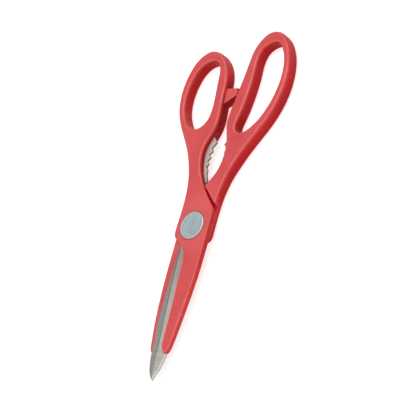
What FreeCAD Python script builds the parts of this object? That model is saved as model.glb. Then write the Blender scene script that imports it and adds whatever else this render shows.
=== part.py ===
import FreeCAD, Part
import math, os

# Poultry shears, closed, lying flat.  Millimetres.
# Origin: where the pivot axis meets the plane the shears lie on (the backs of
# both loops and of the rear pivot cap).
# +Y towards the handles, -Y towards the tip, +Z out of the front face,
# +X towards the finger loop.
# Every shape is drawn about the plane where the two blades rub together
# (z = 0) and raised onto the rest plane at the end.
# The thumb handle carries the front blade, the finger handle the rear one.

os.makedirs("parts", exist_ok=True)
Vector = FreeCAD.Vector
FRONT, REAR = 1, -1      # the two halves; the value is the sign of their z layer

# ------------------------------------------------------------------- blades
BLADE_T = 1.2            # outer face of each blade, from the rubbing plane
FACE_GAP = 0.02          # each inner face stands this far from the rubbing plane
SERR_PITCH = 1.1         # fine serrations on both cutting edges
SERR_DEPTH = 0.5
SMOOTH_EDGE_POINTS = 30  # points along the unserrated edge of the handle's recess
EDGE_T = 0.22            # steel left at the cutting edge
BEVEL_W = 1.5            # width of the ground bevel
TIP_EDGE_T = 0.5         # steel left at the chamfered spine
TIP_BEVEL_W = 0.75       # width of the chamfer on the spine near the tip
TIP_BEVEL_TOP = -66.5    # spine points below this y are chamfered
WEDGE_OUTSIDE = 0.9      # bevel cutter: reach outside the steel
WEDGE_INSIDE = 0.3       # reach past the bevel's width
WEDGE_RISE = 1.5         # height above the bevel's inner line
WEDGE_STEP = 4.0         # spacing of its sections, at least WEDGE_MIN of them
WEDGE_MIN = 6

# ------------------------------------------------------------------ handles
PLATE_GAP = 0.05         # plastic stands this far back from the rubbing plane
HANDLE_HALF = 4.0        # half thickness of the loops
PIVOT_HALF = 3.3         # half thickness over the pivot
TIP_HALF = 2.35          # half thickness at the end of the blade covers
NECK_HALF = PIVOT_HALF + 0.13
COVER_Y = -50.0          # cover rounding reaches its end value; bodies split here
NECK_Y = 20.0            # the covers' taper meets the swell of the loops
LOOP_Y = 42.0            # full loop thickness and rounding from here up
LOW_END_Y, HIGH_END_Y = -80, 130   # beyond both ends of a handle
LOOP_ROUNDING = 2.0
BACK_ROUNDING = (0.8, 1.9)     # a cover's back: beside the pivot, at the tip end
CUTTING_ROUNDING = (1.8, 0.9)  # its cutting side: beside the pivot, at the tip end
COVER_MIDDLE = 5.0       # |x| dividing back from cutting side at COVER_Y and below
SHOULDER = 17.12         # distance pivot axis to the other half's shoulder wall
SHOULDER_NORMAL = (0.717, 0.697)   # direction of that distance
OUTSIDE_Z = 8            # beyond the outer faces
TAB_Z = (-3.6, 2.2)      # rear and front face of the closing stop
TAB_ROUNDING = 0.35
TAB_ROUNDED_X = -3.0     # edges reaching past this x are rounded

# Half thickness along the length: (y, half thickness), and the end slopes
COVER_PROFILE = [(-75.0, TIP_HALF - 0.05), (-60.0, TIP_HALF + 0.22), (-40.0, 2.92),
                 (-20.0, 3.2), (0.0, PIVOT_HALF), (NECK_Y, NECK_HALF)]
SWELL_PROFILE = [(NECK_Y, NECK_HALF), (31.0, 3.76), (LOOP_Y, HANDLE_HALF)]
TIP_SLOPE, NECK_SLOPE, LOOP_SLOPE = 0.016, 0.018, 0.0

# ---------------------------------------------------------------- pivot set
CAP_R = 8.0              # pivot cover discs
CAP_TOP = 3.8            # front cap above the rubbing plane
CAP_DISH = 0.06          # front cap: flat centre lies this far inside its rim
CAP_DISH_INSETS = (1.15, 0.95)  # foot and top of the dish's slope, in from CAP_R
CAP_RIM = [(0.55, 0.0), (0.18, 0.16), (0.0, 0.5)]   # (in from CAP_R, below the top)
CAP_RIM_ROUNDING = 0.12
CAP_RIM_ZONE = 0.7       # rim edges lie within this of the top and of CAP_R
CAP_SKIRT_Z = 1.6        # open end of the skirt
CAP_SKIRT_T = 0.5
CAP_INNER_Z = 3.05       # inside face of the disc
CAP_INNER_CHAMFER = 0.3
CAP_SEAT_CLEAR = 0.02
CAP_SEAT_OVERLAP = 1     # seat cutter's reach past the rubbing plane
SHANK_R = 3.0            # pivot screw shoulder
SHANK_CLEAR = 0.05       # running clearance in the turning blade
SHANK_OVERLAP = 0.2      # shoulder's reach into the head
THREAD_R = 2.0
THREAD_CLEAR = 0.03
THREAD_OVERLAP = 0.1     # thread's reach above the rubbing plane
THREAD_END_Z = -2.95
THREAD_CHAMFER = 0.35
SCREW_HEAD_R = 5.6
SCREW_HEAD_T = 0.9
SCREW_HEAD_CHAMFER = 0.3
SLOT_W, SLOT_DEPTH, SLOT_LENGTH = 1.1, 0.45, 12
WASHER_T = 0.3
WASHER_R = 6.6
REAR_WASHER_CLEAR = 0.15
SPRING_R = 5.9
SPRING_T = 0.18
SPRING_RISE = 0.16
SPRING_CLEAR = 0.25
NUT_AF = 7.0             # across flats, M4
NUT_T = 1.3
NUT_CONE_H = 0.72        # cone that chamfers the nut's outer corners
NUT_CONE_INSET = 0.05
NUT_CONE_FLARE = 1.2
STACK_GAP = 0.01         # between neighbouring pieces on the pivot
WASHER_Z = BLADE_T + STACK_GAP
SPRING_Z = WASHER_Z + WASHER_T + STACK_GAP
HEAD_Z = SPRING_Z + SPRING_RISE + SPRING_T + STACK_GAP

# ------------------------------------------- outlines, (x, y) seen from the front
# thumb handle, clockwise from the top of its loop
THUMB_OUT = [
    (-21.9, 104.8), (-18.4, 104.3), (-14.9, 102.8), (-11.8, 100.3), (-9.0, 97.1),
    (-6.8, 93.5), (-5.3, 89.6), (-4.4, 85.4), (-4.0, 80.8), (-3.7, 76.0),
    (-3.2, 71.4), (-2.6, 66.6), (-2.3, 62.3), (-2.7, 58.1), (-3.9, 54.0),
    (-5.6, 50.0), (-6.8, 46.4), (-7.2, 42.6), (-6.8, 38.4), (-5.7, 34.2),
    (-4.0, 30.1), (-1.8, 26.1), (0.8, 22.2), (3.7, 18.6), (6.9, 15.05),
    (9.6, 12.1), (11.2, 10.0), (11.9, 7.4), (12.0, 4.0), (12.0, 0.0),
    (11.98, -5.0), (11.95, -10.0), (11.93, -15.0), (11.9, -20.0), (11.86, -25.0),
    (11.6, -30.0), (11.25, -35.0), (10.85, -40.0), (10.35, -44.5), (9.9, -49.0),
    (9.4, -54.0), (8.85, -58.7), (8.25, -63.5), (7.75, -66.8), (7.1, -69.4),
    (6.1, -70.9), (4.85, -71.4), (3.5, -70.9), (2.35, -69.6), (1.65, -68.0),
    (1.3, -66.0), (1.17, -63.5), (1.2, -60.0), (1.22, -55.3), (1.15, -50.5),
    (1.0, -46.0), (0.8, -41.0), (0.55, -36.0), (0.25, -31.0), (0.0, -26.0),
    (-0.35, -21.2), (-0.95, -17.6), (-1.9, -14.9), (-3.3, -12.6), (-5.2, -10.7),
    (-7.6, -9.0), (-9.6, -7.75), (-10.95, -6.5), (-11.6, -4.9), (-11.77, -2.3),
    (-11.72, 1.0), (-11.6, 5.1),
    (-11.5, 10.0), (-11.6, 14.8), (-11.95, 19.5), (-12.6, 24.1), (-13.6, 28.6),
    (-14.95, 33.0), (-16.7, 37.4), (-18.7, 41.6), (-21.0, 45.6), (-23.7, 49.6),
    (-26.5, 53.6), (-29.2, 57.5), (-31.6, 61.5), (-33.6, 65.5), (-35.1, 69.7),
    (-36.0, 74.1), (-36.5, 78.5), (-36.4, 83.0), (-35.8, 87.5), (-34.7, 91.8),
    (-33.2, 95.8), (-31.1, 99.3), (-28.3, 102.1), (-25.2, 104.0)]
THUMB_HOLE = [
    (-13.7, 95.1), (-12.5, 92.0), (-11.9, 87.6), (-11.4, 82.7), (-10.8, 77.8),
    (-10.3, 73.0), (-10.2, 68.5), (-10.6, 64.4), (-11.9, 61.2), (-14.1, 58.7),
    (-16.9, 57.4), (-20.0, 57.3), (-22.8, 58.5), (-25.5, 61.1), (-27.8, 64.6),
    (-29.6, 68.4), (-30.7, 72.5), (-31.2, 76.8), (-31.1, 81.2), (-30.4, 85.5),
    (-29.1, 89.6), (-27.3, 93.0), (-24.8, 95.7), (-21.7, 97.3), (-18.4, 97.8),
    (-15.7, 97.1)]
# finger handle, anticlockwise from the right of the pivot
FINGER_OUT = [
    (11.8, 3.9), (11.85, 8.7), (12.05, 13.5), (12.45, 18.2), (13.2, 22.8),
    (14.3, 27.3), (15.8, 31.7), (17.7, 36.0), (19.8, 40.3), (22.1, 44.5),
    (24.7, 48.7), (27.3, 52.9), (29.9, 57.0), (32.2, 61.1), (34.2, 65.4),
    (35.8, 69.7), (37.0, 74.1), (37.8, 78.6), (38.2, 83.2), (38.1, 87.7),
    (37.6, 92.3), (36.6, 96.7), (35.2, 100.9), (33.2, 104.8), (30.8, 108.4),
    (27.9, 111.3), (24.7, 113.4), (21.3, 114.2), (18.0, 113.9), (15.0, 112.4),
    (12.3, 109.6), (10.0, 106.1), (8.6, 102.4), (7.9, 98.2), (7.4, 93.4),
    (6.9, 88.5), (6.3, 83.6), (5.7, 78.7), (4.9, 73.8), (4.1, 69.0),
    (3.6, 64.3), (3.6, 60.3), (4.4, 56.6), (5.85, 52.6), (7.2, 48.3),
    (7.95, 44.0), (8.1, 40.0), (7.5, 35.6), (6.1, 31.2), (3.7, 27.1),
    (0.9, 23.4), (-2.2, 19.8), (-5.3, 16.3), (-8.1, 13.2), (-10.5, 10.5),
    (-11.75, 7.6), (-12.0, 4.0), (-11.95, 0.0), (-11.88, -5.0), (-11.83, -10.0),
    (-11.8, -15.0), (-11.77, -20.0), (-11.74, -25.0), (-11.62, -30.0),
    (-11.4, -35.0), (-11.1, -40.0), (-10.83, -45.0), (-10.4, -50.0),
    (-9.9, -54.5), (-9.35, -58.7), (-8.75, -62.9), (-8.1, -66.8), (-7.5, -69.3),
    (-6.4, -70.9), (-5.0, -71.4), (-3.55, -70.9), (-2.35, -69.6), (-1.65, -68.0),
    (-1.3, -66.0), (-1.17, -63.5), (-1.2, -60.0), (-1.22, -55.3), (-1.15, -50.5),
    (-1.0, -46.0), (-0.8, -41.0), (-0.55, -36.0), (-0.25, -31.0), (0.0, -26.0),
    (0.35, -21.2), (0.95, -17.6), (1.9, -14.9), (3.3, -12.6), (5.2, -10.7),
    (7.6, -9.1), (9.6, -8.0), (11.05, -6.8), (11.75, -5.2), (11.88, -2.6),
    (11.83, 0.5)]
FINGER_HOLE = [
    (29.0, 102.8), (31.0, 98.9), (32.3, 94.8), (33.1, 90.4), (33.3, 85.9),
    (33.0, 81.4), (32.2, 76.9), (31.0, 72.4), (29.3, 68.1), (27.3, 64.1),
    (24.8, 60.5), (21.8, 57.3), (18.7, 55.0), (15.8, 54.1), (13.3, 54.7),
    (11.6, 56.4), (11.2, 59.0), (11.9, 63.0), (12.9, 67.5), (13.6, 72.3),
    (14.1, 77.2), (14.4, 82.0), (14.5, 86.7), (14.3, 91.5), (14.1, 96.1),
    (14.5, 100.0), (15.7, 103.1), (18.1, 105.4), (21.3, 106.8), (24.3, 106.9),
    (26.7, 105.7)]
# closing stop on the thumb loop
TAB = [(-6.0, 81.3), (4.2, 81.3), (4.2, 77.0), (-3.4, 72.1), (-6.0, 71.2)]

# Blade outlines are those of the front blade; x changes sign for the rear one.
# cutting edge from the heel down to the tip
EDGE_LINE = [(-6.75, -16.0), (-6.5, -22.0), (-6.1, -28.0), (-5.65, -34.0),
             (-5.2, -40.0), (-4.75, -45.0), (-4.3, -50.0), (-3.85, -55.0),
             (-3.4, -60.0), (-2.95, -65.0), (-2.55, -70.0), (-2.25, -74.0),
             (-1.9, -78.0), (-1.4, -82.0), (-0.75, -84.9)]
# run of the bevel cutter before the heel and past the tip
BEVEL_LEAD_IN = [(-8.4, -6.8), (-7.4, -9.2), (-6.9, -12.5)]
BEVEL_LEAD_OUT = [(-0.15, -86.8), (0.7, -89.0)]
# start of the chamfer cutter's path, as offsets from the spine's first point
CHAMFER_LEAD_IN = [(-2.6, -2.6), (-1.2, -1.35)]
# spine from the tip back up to the pivot boss; both blades share the upper part
SPINE_UPPER = [(6.5, -64.4), (6.85, -62.0), (7.2, -59.4), (7.45, -56.0), (7.65, -52.0),
               (7.85, -47.5), (8.0, -44.0), (8.1, -38.0), (7.95, -30.0), (7.75, -23.0),
               (7.55, -17.0), (7.5, -13.5)]
SPINES = {
    FRONT: [(0.55, -85.35), (1.25, -84.4), (2.1, -82.75), (3.05, -80.75), (3.8, -78.65),
            (4.45, -76.55), (4.95, -74.4), (5.45, -71.9), (6.05, -68.0)] + SPINE_UPPER,
    REAR: [(0.9, -85.6), (1.65, -84.8), (2.5, -83.75), (3.35, -82.3), (4.05, -80.8),
           (4.62, -79.2), (5.07, -77.5), (5.45, -75.9), (5.78, -74.2), (5.98, -72.6),
           (6.15, -69.5), (6.3, -67.0)] + SPINE_UPPER}
# round the tip, between cutting edge and spine
TIPS = {FRONT: [(-0.4, -85.85), (0.0, -86.2), (0.3, -85.95)],
        REAR: [(-0.4, -85.85), (0.0, -86.2), (0.3, -86.1)]}
# tang from the pivot boss up to the foot of the jaw
TANG_IN = [SPINE_UPPER[-1], (7.95, -10.2), (8.8, -6.9), (9.5, -3.0), (9.75, 2.0),
           (8.9, 7.0), (6.8, 11.2), (3.6, 15.2), (0.8, 18.9), (-0.8, 22.4)]
# tang from the top of the jaw round and back down to the heel
TANG_OUT = [(-7.5, 54.0), (-12.5, 54.3), (-16.6, 53.2), (-17.8, 50.0),
            (-17.0, 46.0), (-15.0, 41.3), (-13.2, 36.5), (-11.8, 31.5),
            (-10.7, 26.0), (-9.9, 20.0), (-9.5, 14.0), (-9.5, 8.0),
            (-9.7, 2.0), (-9.5, -3.0), (-8.6, -6.2), (-7.4, -8.8),
            (-6.95, -12.0), EDGE_LINE[0]]
# toothed jaw on each tang, from the bottom up, in true x
JAWS = {
    FRONT: [(-0.6, 26.2), (-1.3, 28.6), (-2.35, 30.6), (-2.35, 32.9),
            (-4.1, 35.0), (-2.7, 36.7), (-4.45, 38.4), (-2.75, 40.6),
            (-4.5, 42.3), (-2.5, 43.9), (-3.6, 46.2), (-1.3, 49.3), (-4.2, 52.8)],
    REAR: [(2.9, 27.4), (3.5, 30.0), (4.5, 32.9), (6.2, 35.0),
           (4.75, 36.7), (6.4, 38.4), (4.8, 40.6), (6.4, 42.3),
           (4.7, 43.9), (5.6, 46.0), (3.3, 48.7), (6.0, 51.8)]}


# ------------------------------------------------------------------ helpers
def spline(points, closed=False):
    curve = Part.BSplineCurve()
    curve.interpolate([Vector(x, y, 0) for x, y in points], PeriodicFlag=closed)
    return curve


def loop_wire(points):
    return Part.Wire([spline(points, closed=True).toShape()])


def line(start, end):
    return Part.makeLine(Vector(*start), Vector(*end))


def prism(points, z0, z1):
    outline = Part.makePolygon([Vector(x, y, z0) for x, y in points + points[:1]])
    return Part.Face(outline).extrude(Vector(0, 0, z1 - z0))


def cylinder(radius, z0, z1):
    return Part.makeCylinder(radius, z1 - z0, Vector(0, 0, z0), Vector(0, 0, 1))


def ring(inner_r, outer_r, z0, z1):
    return cylinder(outer_r, z0, z1).cut(cylinder(inner_r, z0 - 1, z1 + 1))


def revolved(profile):
    """Solid of revolution about Z from (radius, z) points."""
    outline = Part.makePolygon([Vector(x, 0, z) for x, z in profile + profile[:1]])
    return Part.Face(outline).revolve(Vector(0, 0, 0), Vector(0, 0, 1), 360)


def half_plane(normal_x, normal_y, distance, z0, z1):
    """Everything with normal . (x, y) < distance between z0 and z1."""
    length = math.hypot(normal_x, normal_y)
    nx, ny, reach = normal_x / length, normal_y / length, distance / length
    foot_x, foot_y = nx * reach, ny * reach
    far = 150.0
    along_x, along_y = -ny * far, nx * far
    back_x, back_y = nx * far, ny * far
    return prism([(foot_x + along_x, foot_y + along_y),
                  (foot_x - along_x, foot_y - along_y),
                  (foot_x - along_x - back_x, foot_y - along_y - back_y),
                  (foot_x + along_x - back_x, foot_y + along_y - back_y)], z0, z1)


def single(shape, name):
    """The one solid of a shape; only slivers may be dropped."""
    solids = sorted(shape.Solids, key=lambda piece: -piece.Volume)
    if any(piece.Volume > 0.5 for piece in solids[1:]):
        raise RuntimeError("%s is in %d pieces" % (name, len(solids)))
    solid = solids[0]
    if not solid.isValid():
        solid.fix(1e-5, 1e-5, 1e-4)
    return solid


# ------------------------------------------------------------------- blades
def serrated(points):
    """Fine sawtooth following the cutting edge."""
    curve = spline(points)
    count = int(round(curve.length() / SERR_PITCH))
    crests = curve.discretize(Number=count + 1)
    teeth = []
    for start, end in zip(crests, crests[1:]):
        tangent = (end - start).normalize()
        inward = Vector(-tangent.y, tangent.x, 0)
        root = start + (end - start) * 0.5 + inward * SERR_DEPTH
        teeth += [(start.x, start.y), (root.x, root.y)]
    return teeth + [(crests[-1].x, crests[-1].y)]


def blade_plate(side, teeth):
    """Flat plate of either blade, lying in front of the rubbing plane."""
    edges = []

    def handed(points):
        return [(side * x, y) for x, y in points]

    def add_lines(points):
        for start, end in zip(points, points[1:]):
            edges.append(line((*start, 0), (*end, 0)))

    def add_curve(points):
        edges.append(spline(points).toShape())

    if teeth:
        cutting = serrated(EDGE_LINE)
    else:
        smooth = spline(EDGE_LINE).discretize(Number=SMOOTH_EDGE_POINTS)
        cutting = [(point.x, point.y) for point in smooth]
    spine, jaw = SPINES[side], JAWS[side]
    add_lines(handed(cutting))
    add_curve(handed([cutting[-1]] + TIPS[side] + [spine[0]]))
    add_curve(handed(spine))
    add_curve(handed(TANG_IN) + [jaw[0]])
    add_lines(jaw)
    add_curve([jaw[-1]] + handed(TANG_OUT))
    plate = Part.Face(Part.Wire(edges)).extrude(Vector(0, 0, BLADE_T - FACE_GAP))
    plate.translate(Vector(0, 0, FACE_GAP))
    return plate


def to_layer(shape, side):
    """Reflect a rear shape through the rubbing plane."""
    if side == REAR:
        return shape.mirror(Vector(0, 0, 0), Vector(0, 0, 1))
    return shape


def bevel_cutter(points, width, z_in, z_out):
    """Solid that planes a bevel along a path; material lies to the left of the
    path direction.  The bevel runs from z_in (width inside) to z_out (on it)."""
    slope = (z_in - z_out) / width
    outer_z = z_out - slope * WEDGE_OUTSIDE
    curve = spline(points)
    sections = []
    for point in curve.discretize(Number=max(WEDGE_MIN, int(curve.length() / WEDGE_STEP))):
        tangent = curve.tangent(curve.parameter(point))[0]
        inward = Vector(-tangent.y, tangent.x, 0)
        outer = point - inward * WEDGE_OUTSIDE
        inner = point + inward * (width + WEDGE_INSIDE)
        sections.append(Part.makePolygon([
            Vector(outer.x, outer.y, outer_z),
            Vector(inner.x, inner.y, z_in + slope * WEDGE_INSIDE),
            Vector(outer.x, outer.y, z_in + WEDGE_RISE),
            Vector(outer.x, outer.y, outer_z)]))
    return Part.makeLoft(sections, True, True)


def steel_blade(side):
    blade = blade_plate(side, teeth=True)
    bevel_path = BEVEL_LEAD_IN + EDGE_LINE + BEVEL_LEAD_OUT
    # the spine is chamfered from the cover's end to the tip
    spine = SPINES[side]
    chamfer_path = [(spine[0][0] + x, spine[0][1] + y) for x, y in CHAMFER_LEAD_IN]
    chamfer_path += [point for point in spine if point[1] < TIP_BEVEL_TOP]
    for cutter in (bevel_cutter(bevel_path, BEVEL_W, BLADE_T, FACE_GAP + EDGE_T),
                   bevel_cutter(chamfer_path, TIP_BEVEL_W, BLADE_T, FACE_GAP + TIP_EDGE_T)):
        if side == REAR:
            cutter = cutter.mirror(Vector(0, 0, 0), Vector(1, 0, 0))
        blade = blade.cut(cutter)
    # the front blade turns on the shoulder, the rear one sits on the thread
    hole_r = SHANK_R + SHANK_CLEAR if side == FRONT else THREAD_R + THREAD_CLEAR
    blade = blade.cut(cylinder(hole_r, -5, 5))
    return single(to_layer(blade, side), "blade")


# ------------------------------------------------------------------ handles
def thickness_body():
    """Side profile of the handles, extruded across their full width."""
    left, width = -60, 120

    def rim(points, sign, start_slope, end_slope):
        curve = Part.BSplineCurve()
        curve.interpolate([Vector(left, y, sign * z) for y, z in points],
                          InitialTangent=Vector(0, 1, sign * start_slope),
                          FinalTangent=Vector(0, 1, sign * end_slope))
        return curve.toShape()

    tip_y, tip_z = COVER_PROFILE[0]
    loop_y, loop_z = SWELL_PROFILE[-1]
    end_y = HIGH_END_Y
    outline = Part.Wire([
        rim(COVER_PROFILE, 1, TIP_SLOPE, NECK_SLOPE),
        rim(SWELL_PROFILE, 1, NECK_SLOPE, LOOP_SLOPE),
        line((left, loop_y, loop_z), (left, end_y, loop_z)),
        line((left, end_y, loop_z), (left, end_y, -loop_z)),
        line((left, end_y, -loop_z), (left, loop_y, -loop_z)),
        rim(SWELL_PROFILE, -1, NECK_SLOPE, LOOP_SLOPE),
        rim(COVER_PROFILE, -1, TIP_SLOPE, NECK_SLOPE),
        line((left, tip_y, -tip_z), (left, tip_y, tip_z))])
    return Part.Face(outline).extrude(Vector(width, 0, 0))


def edge_radius(point, side):
    """Rounding radius at a point of a handle's rim."""
    middle = COVER_MIDDLE * min(1.0, max(0.0, point.y / COVER_Y))
    on_back = point.x * side > middle
    near, far = BACK_ROUNDING if on_back else CUTTING_ROUNDING
    if point.y >= NECK_Y:
        share = min(1.0, (point.y - NECK_Y) / (LOOP_Y - NECK_Y))
        return near + (LOOP_ROUNDING - near) * share
    return near + (far - near) * min(1.0, (NECK_Y - point.y) / (NECK_Y - COVER_Y))


def round_long_edges(body, side):
    """Round the front and rear rims of one length of a handle.

    A fillet feature in a document gives each edge its own end radii."""
    doc = FreeCAD.newDocument("rounding")
    base = doc.addObject("Part::Feature", "base")
    base.Shape = body
    fillet = doc.addObject("Part::Fillet", "fillet")
    fillet.Base = base
    radii = []
    for index, edge in enumerate(body.Edges, 1):
        box = edge.BoundBox
        straight = edge.Curve.TypeId == "Part::GeomLine" or box.YLength < 0.01
        off_rim = box.ZMin < 1 and box.ZMax > -1
        if straight or off_rim:
            continue
        ends = edge.Vertexes
        radii.append((index, edge_radius(ends[0].Point, side),
                      edge_radius(ends[-1].Point, side)))
    fillet.Edges = radii
    doc.recompute()
    rounded = fillet.Shape.copy()
    FreeCAD.closeDocument(doc.Name)
    if rounded.isNull() or not rounded.isValid() or len(rounded.Solids) != 1:
        raise RuntimeError("rounding failed near y = %.1f" % body.BoundBox.Center.y)
    return rounded.Solids[0]


def rounded_body(outline, hole, side):
    """Full-thickness body of one handle with its long edges rounded."""
    face = Part.makeFace([loop_wire(outline), loop_wire(hole)], "Part::FaceMakerBullseye")
    body = face.extrude(Vector(0, 0, 12))
    body.translate(Vector(0, 0, -6))
    body = body.common(thickness_body()).Solids[0]
    lengths = []
    for y0, y1 in ((LOW_END_Y, COVER_Y), (COVER_Y, HIGH_END_Y)):
        box = Part.makeBox(200, y1 - y0, 20, Vector(-100, y0, -10))
        lengths.append(round_long_edges(body.common(box).Solids[0], side))
    return lengths[0].fuse(lengths[1:]).Solids[0]


def handle_body(outline, hole, side):
    body = rounded_body(outline, hole, side)
    # below the shoulder only the layer on the half's own side is left
    z0, z1 = sorted((-side * OUTSIDE_Z, side * PLATE_GAP))
    normal_x, normal_y = SHOULDER_NORMAL
    body = body.cut(half_plane(-side * normal_x, normal_y, SHOULDER, z0, z1))
    # recess for the blade and its tang, then the seat of the cap
    body = body.cut(to_layer(blade_plate(side, teeth=False), side))
    z0, z1 = sorted((-side * CAP_SEAT_OVERLAP, side * OUTSIDE_Z))
    return body.cut(cylinder(CAP_R + CAP_SEAT_CLEAR, z0, z1))


def thumb_handle():
    body = handle_body(THUMB_OUT, THUMB_HOLE, FRONT)
    tab = prism(TAB, *TAB_Z)
    exposed = [edge for edge in tab.Edges if edge.BoundBox.XMax > TAB_ROUNDED_X]
    tab = tab.makeFillet(TAB_ROUNDING, exposed)
    return single(body.fuse(tab), "thumb handle")


def finger_handle():
    return single(handle_body(FINGER_OUT, FINGER_HOLE, REAR), "finger handle")


# ---------------------------------------------------------------- pivot set
def cap(top, dish):
    """Pressed disc: flat face, rounded rim, short skirt."""
    profile = [(0, top - dish)]
    if dish:
        foot, crest = CAP_DISH_INSETS
        profile += [(CAP_R - foot, top - dish), (CAP_R - crest, top)]
    profile += [(CAP_R - inset, top - drop) for inset, drop in CAP_RIM]
    skirt_r = CAP_R - CAP_SKIRT_T
    profile += [(CAP_R, CAP_SKIRT_Z), (skirt_r, CAP_SKIRT_Z),
                (skirt_r, CAP_INNER_Z - CAP_INNER_CHAMFER),
                (skirt_r - CAP_INNER_CHAMFER, CAP_INNER_Z), (0, CAP_INNER_Z)]
    disc = revolved(profile)
    rim_edges = [edge for edge in disc.Edges
                 if edge.BoundBox.ZMin > top - CAP_RIM_ZONE
                 and edge.BoundBox.XLength > 2 * (CAP_R - CAP_RIM_ZONE)]
    # guards the rim rounding: if the fillet fails, the rim stays faceted
    try:
        disc = disc.makeFillet(CAP_RIM_ROUNDING, rim_edges)
    except Exception:
        pass
    return disc


def rear_cap():
    """Undished cap, turned over; its face reaches the rest plane."""
    disc = cap(HANDLE_HALF, 0.0)
    disc.rotate(Vector(0, 0, 0), Vector(0, 1, 0), 180)
    return disc


def pivot_screw():
    """Shoulder turns in the front blade, thread passes the rear blade and nut."""
    head_top = HEAD_Z + SCREW_HEAD_T
    screw = revolved([(0, HEAD_Z), (SCREW_HEAD_R, HEAD_Z),
                      (SCREW_HEAD_R, head_top - SCREW_HEAD_CHAMFER),
                      (SCREW_HEAD_R - SCREW_HEAD_CHAMFER, head_top), (0, head_top)])
    screw = screw.fuse(cylinder(SHANK_R, -FACE_GAP, HEAD_Z + SHANK_OVERLAP))
    screw = screw.fuse(cylinder(THREAD_R, THREAD_END_Z + THREAD_CHAMFER, THREAD_OVERLAP))
    screw = screw.fuse(Part.makeCone(THREAD_R - THREAD_CHAMFER, THREAD_R, THREAD_CHAMFER,
                                     Vector(0, 0, THREAD_END_Z)))
    slot_corner = Vector(-SLOT_LENGTH / 2, -SLOT_W / 2, head_top - SLOT_DEPTH)
    screw = screw.cut(Part.makeBox(SLOT_LENGTH, SLOT_W, 1, slot_corner))
    return single(screw.removeSplitter(), "pivot screw")


def pivot_nut():
    inner_z = -SPRING_Z      # the rear stack mirrors the front one up to here
    outer_z = inner_z - NUT_T
    corner_r = NUT_AF / math.sqrt(3.0)
    angles = [math.radians(60 * i + 30) for i in range(6)]
    nut = prism([(corner_r * math.cos(angle), corner_r * math.sin(angle))
                 for angle in angles], outer_z, inner_z)
    envelope = Part.makeCone(NUT_AF / 2 - NUT_CONE_INSET, NUT_AF / 2 + NUT_CONE_FLARE,
                             NUT_CONE_H, Vector(0, 0, outer_z))
    envelope = envelope.fuse(cylinder(NUT_AF, outer_z + NUT_CONE_H, inner_z + 1))
    nut = nut.common(envelope)
    nut = nut.cut(cylinder(THREAD_R + THREAD_CLEAR, -6, 2))
    return single(nut, "pivot nut")


def front_washer():
    return ring(SHANK_R + SHANK_CLEAR, WASHER_R, WASHER_Z, WASHER_Z + WASHER_T)


def rear_washer():
    return ring(THREAD_R + REAR_WASHER_CLEAR, WASHER_R, -WASHER_Z - WASHER_T, -WASHER_Z)


def spring_washer():
    """Coned washer, its inner rim raised towards the screw head."""
    inner_r = SHANK_R + SPRING_CLEAR
    inner_z = SPRING_Z + SPRING_RISE
    return revolved([(SPRING_R, SPRING_Z), (SPRING_R, SPRING_Z + SPRING_T),
                     (inner_r, inner_z + SPRING_T), (inner_r, inner_z)])


# -------------------------------------------------------------------- export
pieces = {
    "front_blade": steel_blade(FRONT),
    "rear_blade": steel_blade(REAR),
    "thumb_handle": thumb_handle(),
    "finger_handle": finger_handle(),
    "front_cap": cap(CAP_TOP, CAP_DISH),
    "rear_cap": rear_cap(),
    "pivot_screw": pivot_screw(),
    "pivot_nut": pivot_nut(),
    "front_washer": front_washer(),
    "rear_washer": rear_washer(),
    "spring_washer": spring_washer(),
}
for name, shape in pieces.items():
    shape.translate(Vector(0, 0, HANDLE_HALF))
    shape.exportStep(os.path.join("parts", name + ".step"))
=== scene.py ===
# Shears: two red plastic handles and two steel blades on a capped pivot.
# The pivot's axis is Z through the origin and the blades lie flat across it.
# The serrated lengths run towards -Y, the jaws towards +Y. Lengths are metres.
import math

import bpy
from mathutils import Matrix, Vector


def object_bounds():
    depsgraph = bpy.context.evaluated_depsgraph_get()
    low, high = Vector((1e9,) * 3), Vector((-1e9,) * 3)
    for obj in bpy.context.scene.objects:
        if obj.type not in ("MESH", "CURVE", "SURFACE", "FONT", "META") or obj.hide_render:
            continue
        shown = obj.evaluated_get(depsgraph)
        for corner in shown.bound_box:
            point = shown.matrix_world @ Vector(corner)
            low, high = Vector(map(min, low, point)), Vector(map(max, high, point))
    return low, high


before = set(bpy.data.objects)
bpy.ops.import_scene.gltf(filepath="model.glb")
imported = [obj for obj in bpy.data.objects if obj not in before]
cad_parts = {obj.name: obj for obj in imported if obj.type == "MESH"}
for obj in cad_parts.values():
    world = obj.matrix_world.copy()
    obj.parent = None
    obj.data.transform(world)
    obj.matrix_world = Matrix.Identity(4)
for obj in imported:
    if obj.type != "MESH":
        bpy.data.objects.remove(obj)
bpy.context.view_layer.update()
scene = bpy.context.scene

MM = 0.001

# Distances from the pivot's axis over which a look fades in
CAP_RIM = (6.75 * MM, 7.05 * MM)
CAP_SEAM = (8.15 * MM, 8.95 * MM)

# Stretches of Y over which a look fades, from its first value to its second
BRIGHT_WALLS = (-0.030, -0.004)
JAWS_START = (0.016, 0.026)
HEEL = (-0.012, -0.048)
TEETH_START = (-0.0715, -0.070)
TEETH_END = (-0.015, -0.013)
RED_START = (0.006, 0.010)
RED_END = (0.0245, 0.0262)

TOOTH_PITCH = 1.095 * MM

FLOOR_SIZE = 6.0
FLOOR_GAP = 0.0002


# ---------------------------------------------------------------- shader tools
def srgb(*channels):
    """Linear RGBA from 0-255 sRGB channels."""
    def linear(value):
        return value / 12.92 if value <= 0.04045 else ((value + 0.055) / 1.055) ** 2.4
    return (*(linear(channel / 255.0) for channel in channels), 1)


def grey(value):
    return (value, value, value, 1)


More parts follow.
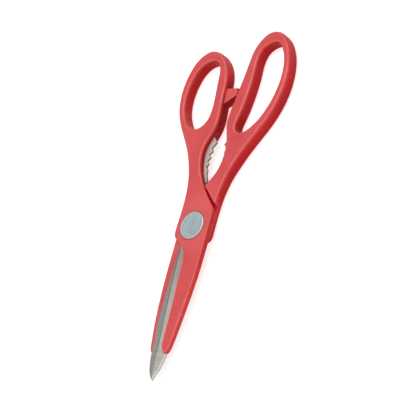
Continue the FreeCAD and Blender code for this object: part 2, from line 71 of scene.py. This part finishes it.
def fill_ramp(ramp, stops):
    """stops: (position, RGBA) pairs."""
    while len(ramp.elements) < len(stops):
        ramp.elements.new(0.5)
    for element, (position, colour) in zip(ramp.elements, stops):
        element.position = position
        element.color = colour


class Shader:
    """A material with one Principled surface, and short ways to wire it."""

    def __init__(self, name):
        self.material = bpy.data.materials.new(name)
        self.material.use_nodes = True
        self.tree = self.material.node_tree
        self.tree.nodes.clear()
        output = self.node("OutputMaterial")
        self.principled = self.node("BsdfPrincipled")
        self.feed(output.inputs["Surface"], self.principled.outputs["BSDF"])

    def feed(self, socket, value):
        """Link the socket if value is another socket, else set it."""
        if hasattr(value, "is_output"):
            self.tree.links.new(value, socket)
        else:
            socket.default_value = value

    def node(self, kind, inputs=None, **settings):
        node = self.tree.nodes.new("ShaderNode" + kind)
        for key, value in settings.items():
            setattr(node, key, value)
        for key, value in (inputs or {}).items():
            self.feed(node.inputs[key], value)
        return node

    def surface(self, **inputs):
        for key, value in inputs.items():
            self.feed(self.principled.inputs[key.replace("_", " ")], value)

    def object_point(self):
        return self.node("TexCoord").outputs["Object"]

    def split(self, vector):
        return self.node("SeparateXYZ", {"Vector": vector}).outputs

    def noise(self, scale, detail=2.0, roughness=0.5, stretch=(1, 1, 1)):
        mapping = self.node("Mapping", {"Vector": self.object_point(), "Scale": stretch})
        return self.node("TexNoise", {
            "Vector": mapping.outputs["Vector"],
            "Scale": scale,
            "Detail": detail,
            "Roughness": roughness,
        }).outputs["Fac"]

    def ramp(self, factor, stops):
        node = self.node("ValToRGB", {"Fac": factor})
        fill_ramp(node.color_ramp, stops)
        return node.outputs["Color"]

    def remap(self, value, over=(0.0, 1.0), to=(0.0, 1.0)):
        """Carry the range `over` onto the range `to`, clamped."""
        return self.node("MapRange", {
            "Value": value,
            "From Min": over[0],
            "From Max": over[1],
            "To Min": to[0],
            "To Max": to[1],
        }).outputs["Result"]

    def math(self, operation, *values):
        return self.node("Math", dict(enumerate(values)), operation=operation).outputs[0]

    def times(self, first, second):
        return self.math("MULTIPLY", first, second)

    def mix(self, factor, under, over, strength=None):
        """Lay the colour `over` on `under`; strength scales the factor."""
        if strength is not None:
            factor = self.times(factor, strength)
        # sockets 0, 6 and 7 are the factor and the two colours
        return self.node("Mix", {0: factor, 6: under, 7: over}, data_type="RGBA").outputs[2]

    def bump(self, **inputs):
        return self.node("Bump", inputs).outputs["Normal"]

    def edge_normal(self, radius):
        """Normal softened over a small radius, so that no edge is razor sharp."""
        return self.node("Bevel", {"Radius": radius}, samples=6).outputs["Normal"]

    def edge_highlight(self, radius):
        """0 on open faces, 1 where the surface turns over an edge; it masks painted edge
        highlights.
        """
        agreement = self.node("VectorMath", {
            0: self.edge_normal(radius),
            1: self.node("NewGeometry").outputs["Normal"],
        }, operation="DOT_PRODUCT").outputs["Value"]
        return self.remap(agreement, over=(0.80, 0.99), to=(1.0, 0.0))

    def openness(self, distance, over):
        """1 on open surfaces, 0 deep in slots and corners; it masks painted shade and painted
        reflection.
        """
        occlusion = self.node("AmbientOcclusion", {"Distance": distance}, samples=8)
        return self.remap(occlusion.outputs["AO"], over=over)

    def axis_distance(self, place):
        """Distance from the pivot's axis."""
        x_squared = self.times(place["X"], place["X"])
        y_squared = self.times(place["Y"], place["Y"])
        return self.math("SQRT", self.math("ADD", x_squared, y_squared))


# ------------------------------------------------------------------- materials
def red_plastic():
    m = Shader("moulded_red_plastic")
    # flat faces: the lit copy of the colour, as painted light, with a soft colour drift of
    # moulded polypropylene and a fine grain
    drift = m.noise(scale=55.0, detail=3.0, roughness=0.55)
    grain = m.noise(scale=2600.0, roughness=0.6)
    top = m.ramp(drift, [
        (0.30, srgb(198, 52, 55)), (0.50, srgb(206, 60, 62)), (0.72, srgb(212, 67, 69))])
    top = m.mix(m.remap(grain, over=(0.4, 0.8), to=(0.0, 0.30)), top, srgb(216, 78, 79))

    # side walls: the darker, shaded copy of the colour, as painted shade
    wall = m.ramp(drift, [(0.30, srgb(184, 32, 36)), (0.72, srgb(196, 40, 44))])
    along = m.split(m.object_point())["Y"]
    # painted light: the walls grow brighter towards -Y
    wall = m.mix(m.remap(along, over=BRIGHT_WALLS, to=(0.9, 0.0)), wall, srgb(212, 50, 47))
    # painted shade: walls go darkest in enclosed places
    wall = m.mix(m.openness(distance=0.012, over=(0.38, 0.84)), srgb(146, 10, 17), wall)

    geometry = m.node("NewGeometry").outputs
    flat = m.math("ABSOLUTE", m.split(geometry["Normal"])["Z"])
    # painted light: flat faces take the lit copy and upright walls the shaded copy
    base = m.mix(m.remap(flat, over=(0.20, 0.88)), wall, top)

    # painted highlight along the moulded rims, neither flat nor upright, in patches
    sloping = m.ramp(flat, [
        (0.62, grey(0)), (0.86, grey(1)), (0.93, grey(1)), (0.99, grey(0))])
    patchy = m.remap(m.noise(scale=130.0), over=(0.35, 0.65), to=(0.28, 0.62))
    base = m.mix(m.times(sloping, patchy), base, srgb(238, 118, 114))

    # painted shade in the seam around the pivot cap
    from_pivot = m.axis_distance(m.split(m.object_point()))
    seam = m.remap(from_pivot, over=CAP_SEAM, to=(0.9, 0.0))
    base = m.mix(seam, base, srgb(120, 40, 42))

    # painted highlight on convex edges and where the surface turns over an edge
    convex = m.remap(geometry["Pointiness"], over=(0.505, 0.56))
    base = m.mix(convex, base, srgb(228, 104, 102), strength=0.35)
    base = m.mix(m.edge_highlight(radius=0.0005), base, srgb(226, 96, 94), strength=0.45)
    # painted shade: a deep, saturated red in slots and gaps
    open_to_air = m.openness(distance=0.0034, over=(0.30, 0.88))
    base = m.mix(open_to_air, srgb(190, 8, 22), base)

    roughness = m.remap(m.noise(scale=420.0), to=(0.34, 0.45))
    normal = m.bump(
        Height=m.noise(scale=1900.0, detail=3.0, roughness=0.6),
        Strength=0.10, Distance=0.00006, Normal=m.edge_normal(radius=0.00028))
    normal = m.bump(Height=m.noise(scale=90.0), Strength=0.15, Distance=0.00025, Normal=normal)
    m.surface(
        Base_Color=base, Roughness=roughness, Normal=normal, IOR=1.49,
        Specular_IOR_Level=m.remap(flat, over=(0.20, 0.90), to=(0.06, 0.5)),
        Subsurface_Weight=0.10, Subsurface_Scale=0.0012,
        Subsurface_Radius=(1.0, 0.25, 0.2))
    # painted light: an emission in narrow slots keeps them dark red, not black
    m.surface(
        Emission_Color=srgb(150, 2, 14),
        Emission_Strength=m.remap(open_to_air, over=(0.0, 0.7), to=(0.42, 0.0)))
    return m.material


def blade_steel(name, ground, jaws, roughness):
    """ground: dark, mid, light colours; jaws: two colours; roughness: low, high."""
    m = Shader(name)
    along = m.split(m.object_point())["Y"]

    # grinding marks run across the blade, with a few polishing smears
    marks = m.noise(scale=260.0, detail=4.0, roughness=0.65, stretch=(0.35, 9.0, 1.0))
    scratches = m.noise(scale=900.0, detail=3.0, roughness=0.7, stretch=(0.25, 7.0, 1.0))
    smear = m.noise(scale=60.0, detail=3.0, roughness=0.6)
    base = m.ramp(marks, list(zip((0.30, 0.55, 0.80), ground)))
    base = m.mix(m.remap(smear, over=(0.45, 0.75), to=(0.0, 0.25)), base, ground[0])

    # the jaws beyond the pivot are left as blanked
    jaw = m.remap(along, over=JAWS_START)
    base = m.mix(jaw, base, m.ramp(smear, list(zip((0.3, 0.7), jaws))))

    # darker towards the pivot, where the blade runs up under it
    heel = m.remap(along, over=HEEL, to=(0.55, 0.0))
    heel = m.times(heel, m.remap(jaw, to=(1.0, 0.0)))
    base = m.mix(heel, base, srgb(122, 120, 116))

    # painted highlight: a light streak on the spine's chamfer
    normal = m.split(m.node("NewGeometry").outputs["Normal"])
    chamfer = m.remap(m.times(normal["X"], normal["Z"]), over=(0.15, 0.40), to=(0.0, 0.5))
    base = m.mix(chamfer, base, srgb(242, 240, 234))

    rough = m.math("ADD", m.remap(marks, to=roughness), m.remap(smear, to=(-0.04, 0.06)))
    jaw_extra_roughness = 0.12
    rough = m.math("ADD", rough, m.times(jaw, jaw_extra_roughness))

    # painted shade: the plate's upright sides are darkened, and its corners and slots more so
    flat = m.math("ABSOLUTE", normal["Z"])
    side = m.remap(flat, over=(0.15, 0.45), to=(0.85, 0.0))
    base = m.mix(side, base, srgb(98, 95, 92))
    base = m.mix(m.openness(distance=0.0009, over=(0.30, 0.85)), srgb(72, 70, 68), base)

    # painted shade in each serration's gullet: darker bands across the bevel at the tooth
    # pitch
    wave = m.math("SINE", m.times(along, 2.0 * math.pi / TOOTH_PITCH))
    bevel = m.remap(m.math("ABSOLUTE", normal["X"]), over=(0.36, 0.48))
    gullet_shade = m.times(m.remap(wave, over=(-0.3, 0.4), to=(0.0, 0.92)), bevel)
    gullet_shade = m.times(gullet_shade, m.remap(along, over=TEETH_END, to=(1.0, 0.0)))
    gullet_shade = m.times(gullet_shade, m.remap(along, over=TEETH_START))
    base = m.mix(gullet_shade, base, srgb(44, 44, 43))

    # painted reflection: on a stretch at +Y, while enclosed by the red handles, the steel is
    # tinted dark red; opened out, it is plain steel
    between = m.times(m.remap(along, over=RED_START),
                      m.remap(along, over=RED_END, to=(1.0, 0.0)))
    enclosed = m.math("SUBTRACT", 1.0, m.openness(distance=0.004, over=(0.15, 0.60)))
    base = m.mix(m.times(between, enclosed), base, srgb(112, 8, 18))

    # painted highlight along the corners
    base = m.mix(m.edge_highlight(radius=0.00022), base, srgb(235, 233, 228), strength=0.25)
    m.surface(
        Base_Color=base, Metallic=1.0, Roughness=rough, Anisotropic=0.45,
        Normal=m.bump(Height=scratches, Strength=0.22, Distance=0.00003,
                      Normal=m.edge_normal(radius=0.00010)))
    return m.material


def cap_metal():
    m = Shader("satin_cap_metal")
    point = m.object_point()
    rim = m.remap(m.axis_distance(m.split(point)), over=CAP_RIM)
    blotches = m.noise(scale=230.0, detail=3.0, roughness=0.6)
    clouds = m.noise(scale=95.0)
    fine = m.noise(scale=1500.0, detail=3.0, roughness=0.7)

    # a bluish, blotchy face inside a warmer rim
    face = m.ramp(blotches, [
        (0.30, srgb(152, 176, 181)), (0.52, srgb(172, 191, 195)), (0.75, srgb(190, 204, 205))])
    face = m.mix(m.remap(clouds, over=(0.4, 0.7), to=(0.0, 0.5)), face, srgb(196, 208, 206))
    base = m.mix(rim, face, srgb(202, 192, 186))
    # painted highlight along the cap's edges
    base = m.mix(m.edge_highlight(radius=0.0004), base, srgb(236, 230, 226), strength=0.3)
    roughness = m.math("ADD", m.remap(rim, to=(0.42, 0.44)), m.remap(fine, to=(-0.04, 0.05)))

    # faint turned rings around Z
    rings = m.node("TexWave", {"Vector": point, "Scale": 900.0, "Distortion": 0.6},
                   wave_type="RINGS", rings_direction="Z").outputs["Fac"]
    normal = m.bump(Height=fine, Strength=0.15, Distance=0.00002,
                    Normal=m.edge_normal(radius=0.00012))
    normal = m.bump(Height=rings, Strength=0.03, Distance=0.00001, Normal=normal)
    m.surface(Base_Color=base, Metallic=1.0, Roughness=roughness, Normal=normal)
    return m.material


def fastener_steel():
    m = Shader("turned_fastener_steel")
    marks = m.noise(scale=700.0, detail=3.0, roughness=0.6)
    m.surface(
        Base_Color=m.ramp(marks, [(0.3, srgb(150, 150, 150)), (0.7, srgb(188, 187, 184))]),
        Metallic=1.0,
        Roughness=m.remap(marks, to=(0.28, 0.45)),
        Normal=m.bump(Height=m.noise(scale=1800.0), Strength=0.15, Distance=0.00002))
    return m.material


def spring_steel():
    m = Shader("tempered_spring_steel")
    marks = m.noise(scale=500.0, detail=3.0, roughness=0.6)
    m.surface(
        Base_Color=m.ramp(marks, [(0.3, srgb(96, 98, 106)), (0.7, srgb(128, 128, 132))]),
        Metallic=1.0,
        Roughness=m.remap(marks, to=(0.32, 0.5)))
    return m.material


def floor_paper():
    m = Shader("pale_floor")
    drift = m.noise(scale=14.0, detail=3.0)
    m.surface(
        Base_Color=m.ramp(drift, [(0.3, srgb(190, 190, 190)), (0.7, srgb(194, 194, 194))]),
        Roughness=0.95, Specular_IOR_Level=0.1,
        Emission_Color=grey(1), Emission_Strength=0.70)
    return m.material


# Each material with the pieces that wear it
LOOKS = [
    (red_plastic(), ("thumb_handle", "finger_handle")),
    (cap_metal(), ("front_cap", "rear_cap")),
    (fastener_steel(), ("pivot_screw", "pivot_nut", "front_washer", "rear_washer")),
    (spring_steel(), ("spring_washer",)),
    (blade_steel(
        "ground_blade_steel",
        ground=(srgb(174, 170, 162), srgb(198, 194, 184), srgb(212, 208, 198)),
        jaws=(srgb(198, 185, 178), srgb(212, 201, 194)),
        roughness=(0.28, 0.42)), ("front_blade",)),
    # the rear blade shows its rubbing face, which is smoother, and darker partly from its
    # finish and partly as painted shade beside the front blade's edge
    (blade_steel(
        "rubbed_blade_steel_with_painted_shade",
        ground=(srgb(142, 142, 138), srgb(162, 161, 156), srgb(182, 180, 174)),
        jaws=(srgb(132, 122, 106), srgb(150, 138, 120)),
        roughness=(0.24, 0.36)), ("rear_blade",)),
]
for material, pieces in LOOKS:
    for piece in pieces:
        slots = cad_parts[piece].data.materials
        slots.clear()
        slots.append(material)


# ----------------------------------------------------------------------- stage
def add_floor():
    lowest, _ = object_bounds()
    bpy.ops.mesh.primitive_plane_add(size=FLOOR_SIZE, location=(0, 0, lowest.z - FLOOR_GAP))
    floor = bpy.context.object
    floor.name = "floor"
    floor.data.materials.append(floor_paper())


def add_camera():
    # rows: the camera's right, up and backward directions
    axes = Matrix((
        (0.7406851413560441, 0.2618146206862723, -0.6187395459878741),
        (-0.0019755506860835025, 0.9217905254279668, 0.38768327850285167),
        (0.6718494017068586, -0.285928892604676, 0.6832737736807991),
    )).transposed()
    target = Vector((0, 0, 4.0))  # mm
    # from the target along those directions, mm
    offset = Vector((7.84092423355853, 9.13325579649974, 1000.0))
    data = bpy.data.cameras.new("camera")
    data.sensor_width = 36.0
    data.lens = 160.7142857
    data.clip_start = 0.05
    data.clip_end = 20.0
    data.shift_x = -0.00119047619
    data.shift_y = 0.00119047619
    camera = bpy.data.objects.new("camera", data)
    camera.matrix_world = Matrix.Translation((axes @ offset + target) * MM) @ axes.to_4x4()
    scene.collection.objects.link(camera)
    scene.camera = camera


def add_disk_light(name, direction, distance, size, power):
    """A disk facing the origin from the given direction."""
    data = bpy.data.lights.new(name, "AREA")
    data.shape = "DISK"
    data.size = size
    data.energy = power
    light = bpy.data.objects.new(name, data)
    outward = Vector(direction).normalized()
    light.location = outward * distance
    light.rotation_mode = "QUATERNION"
    light.rotation_quaternion = (-outward).to_track_quat("-Z", "Y")
    scene.collection.objects.link(light)


def add_world():
    """A grey sky that brightens with height."""
    world = bpy.data.worlds.new("studio")
    scene.world = world
    world.use_nodes = True
    tree = world.node_tree
    point = tree.nodes.new("ShaderNodeTexCoord")
    split = tree.nodes.new("ShaderNodeSeparateXYZ")
    sky = tree.nodes.new("ShaderNodeValToRGB")
    sky.color_ramp.interpolation = "EASE"
    fill_ramp(sky.color_ramp, [
        (0.0, grey(0.40)), (0.30, grey(0.48)), (0.68, grey(0.95)), (1.0, grey(1.20))])
    background = tree.nodes["Background"]
    tree.links.new(point.outputs["Generated"], split.inputs["Vector"])
    tree.links.new(split.outputs["Z"], sky.inputs["Fac"])
    tree.links.new(sky.outputs["Color"], background.inputs["Color"])
    background.inputs["Strength"].default_value = 0.9


add_floor()
add_camera()
add_disk_light("key", direction=(0.10, 0.42, 0.92), distance=1.3, size=0.50, power=3.3)
add_disk_light("fill", direction=(-0.15, -0.9, 0.9), distance=1.4, size=0.9, power=1.6)
add_world()
scene.view_settings.view_transform = "Standard"
